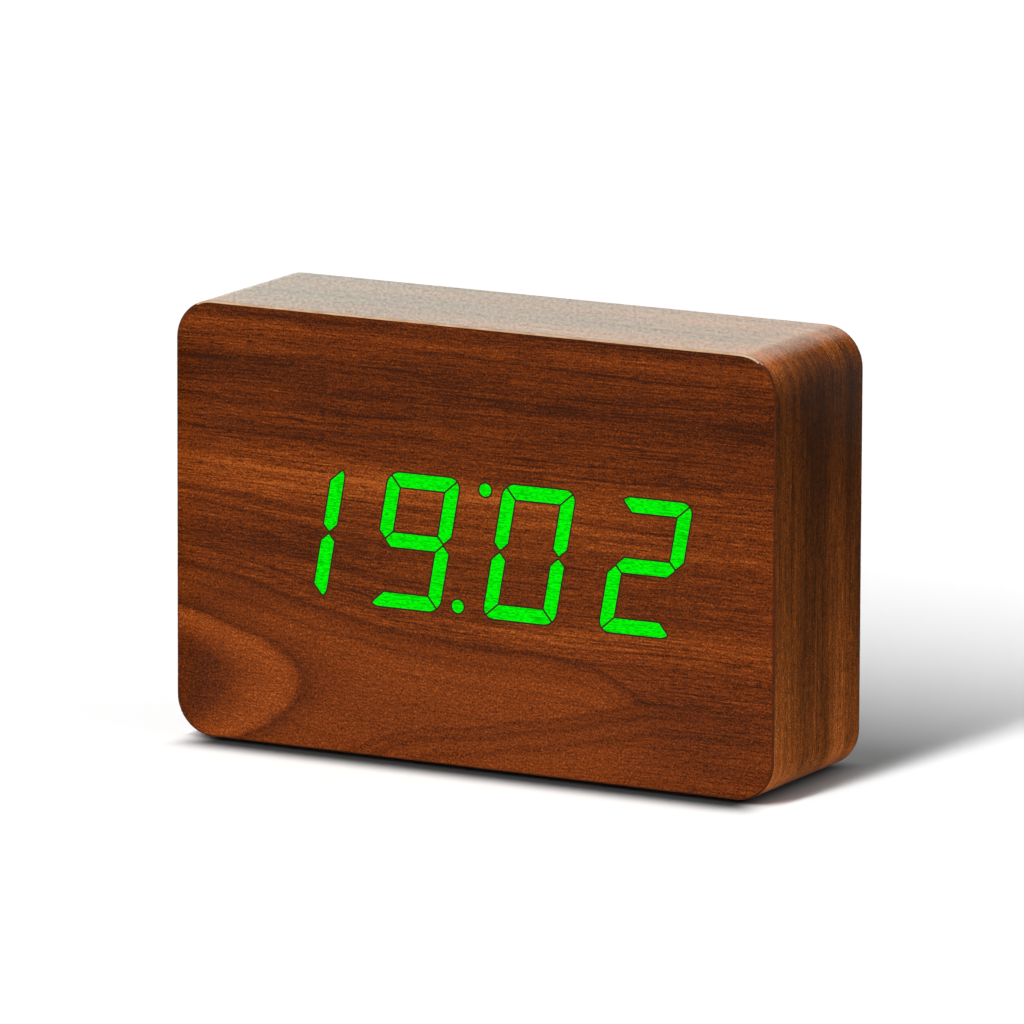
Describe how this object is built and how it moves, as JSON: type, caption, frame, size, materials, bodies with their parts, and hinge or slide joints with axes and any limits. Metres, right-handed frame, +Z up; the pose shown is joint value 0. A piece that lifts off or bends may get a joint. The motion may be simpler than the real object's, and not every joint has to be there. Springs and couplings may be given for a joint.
{
  "type": "digital alarm clock",
  "caption": "Desk alarm clock: walnut-veneered box with rounded corners, green seven-segment time lit through the front, and a rear panel with buttons, alarm slider and battery door.",
  "frame": {"origin": "under the middle of the clock, on the plane of its four pads", "axes": "+Z up, the lit front faces -Y, +X to the right for someone who faces the front"},
  "size_m": [0.15, 0.042, 0.1],
  "materials": {
    "board_wood": "sanded fibreboard",
    "walnut_front": "satin lacquered walnut veneer",
    "walnut_wrap": "satin lacquered walnut veneer",
    "walnut_back": "satin lacquered walnut veneer",
    "lit_green": "lit from behind",
    "foot_rubber": "matt",
    "mask_black": "moulded",
    "lens_milky": "translucent resin",
    "circuit_green": "solder mask",
    "led_clear": "clear chip",
    "chip_black": "moulded epoxy",
    "screw_zinc": "zinc plated",
    "screw_black": "black oxide",
    "socket_ivory": "moulded",
    "ribbon_white": "flat film cable",
    "panel_black": "fine spark texture",
    "door_black": "fine spark texture",
    "cell_sleeve": "printed sleeve, plain",
    "contact_nickel": "nickel plated",
    "spring_steel": "nickel plated wire",
    "lead_red": "insulated wire",
    "lead_black": "insulated wire",
    "crystal_can": "drawn can",
    "capacitor_can": "sleeved can",
    "switch_steel": "stamped cover",
    "plunger_black": "moulded",
    "button_black": "moulded",
    "slider_black": "moulded",
    "buzzer_black": "moulded",
    "mic_can": "drawn can",
    "jack_black": "moulded",
    "jack_brass": "plated",
    "nut_zinc": "zinc plated"
  },
  "bodies": {
    "case": {"left_side": "board_wood", "right_side": "board_wood", "top_board": "board_wood", "bottom_board": "board_wood", "corner_blocks": "board_wood", "front_board": "board_wood", "wrap_veneer": "walnut_wrap", "front_veneer": "walnut_front", "lit_segments": "lit_green", "back_veneer": "walnut_back", "rubber_feet": "foot_rubber", "segment_mask": "mask_black", "segment_lenses": "lens_milky", "display_board": "circuit_green", "segment_leds": "led_clear", "driver_chips": "chip_black", "display_screws": "screw_zinc", "ribbon_sockets": "socket_ivory", "ribbon_cable": "ribbon_white", "rear_panel": "panel_black", "panel_screws": "screw_black", "aaa_cells": "cell_sleeve", "battery_springs": "spring_steel", "contact_plates": "contact_nickel", "battery_leads": "lead_red", "control_board": "circuit_green", "board_screws": "screw_zinc", "clock_chip": "chip_black", "timing_crystal": "crystal_can", "capacitors": "capacitor_can", "tact_switches": "switch_steel", "alarm_switch": "switch_steel", "buzzer": "buzzer_black", "microphone": "mic_can", "dc_jack": "jack_black", "jack_pin": "jack_brass", "jack_nut": "nut_zinc", "jack_leads": "lead_black"},
    "set_key": {"set_button": "button_black", "set_plunger": "plunger_black"},
    "up_key": {"up_button": "button_black", "up_plunger": "plunger_black"},
    "down_key": {"down_button": "button_black", "down_plunger": "plunger_black"},
    "alarm_key": {"alarm_slider": "slider_black", "switch_lever": "plunger_black"},
    "door": {"battery_door": "door_black"}
  },
  "joints": [
    {"name": "set_press", "type": "slide", "parent": "case", "child": "set_key", "axis": [0, -1, 0], "range_m": [0, 0.0003], "stiffness_N_per_m": 2000},
    {"name": "up_press", "type": "slide", "parent": "case", "child": "up_key", "axis": [0, -1, 0], "range_m": [0, 0.0003], "stiffness_N_per_m": 2000},
    {"name": "down_press", "type": "slide", "parent": "case", "child": "down_key", "axis": [0, -1, 0], "range_m": [0, 0.0003], "stiffness_N_per_m": 2000},
    {"name": "alarm_slide", "type": "slide", "parent": "case", "child": "alarm_key", "axis": [1, 0, 0], "range_m": [0, 0.002]},
    {"name": "door_hinge", "type": "hinge", "parent": "case", "child": "door", "pos_m": [-0.0319, 0.0186, 0.02675], "axis": [-1, 0, 0], "range_deg": [0, 90]}
  ]
}
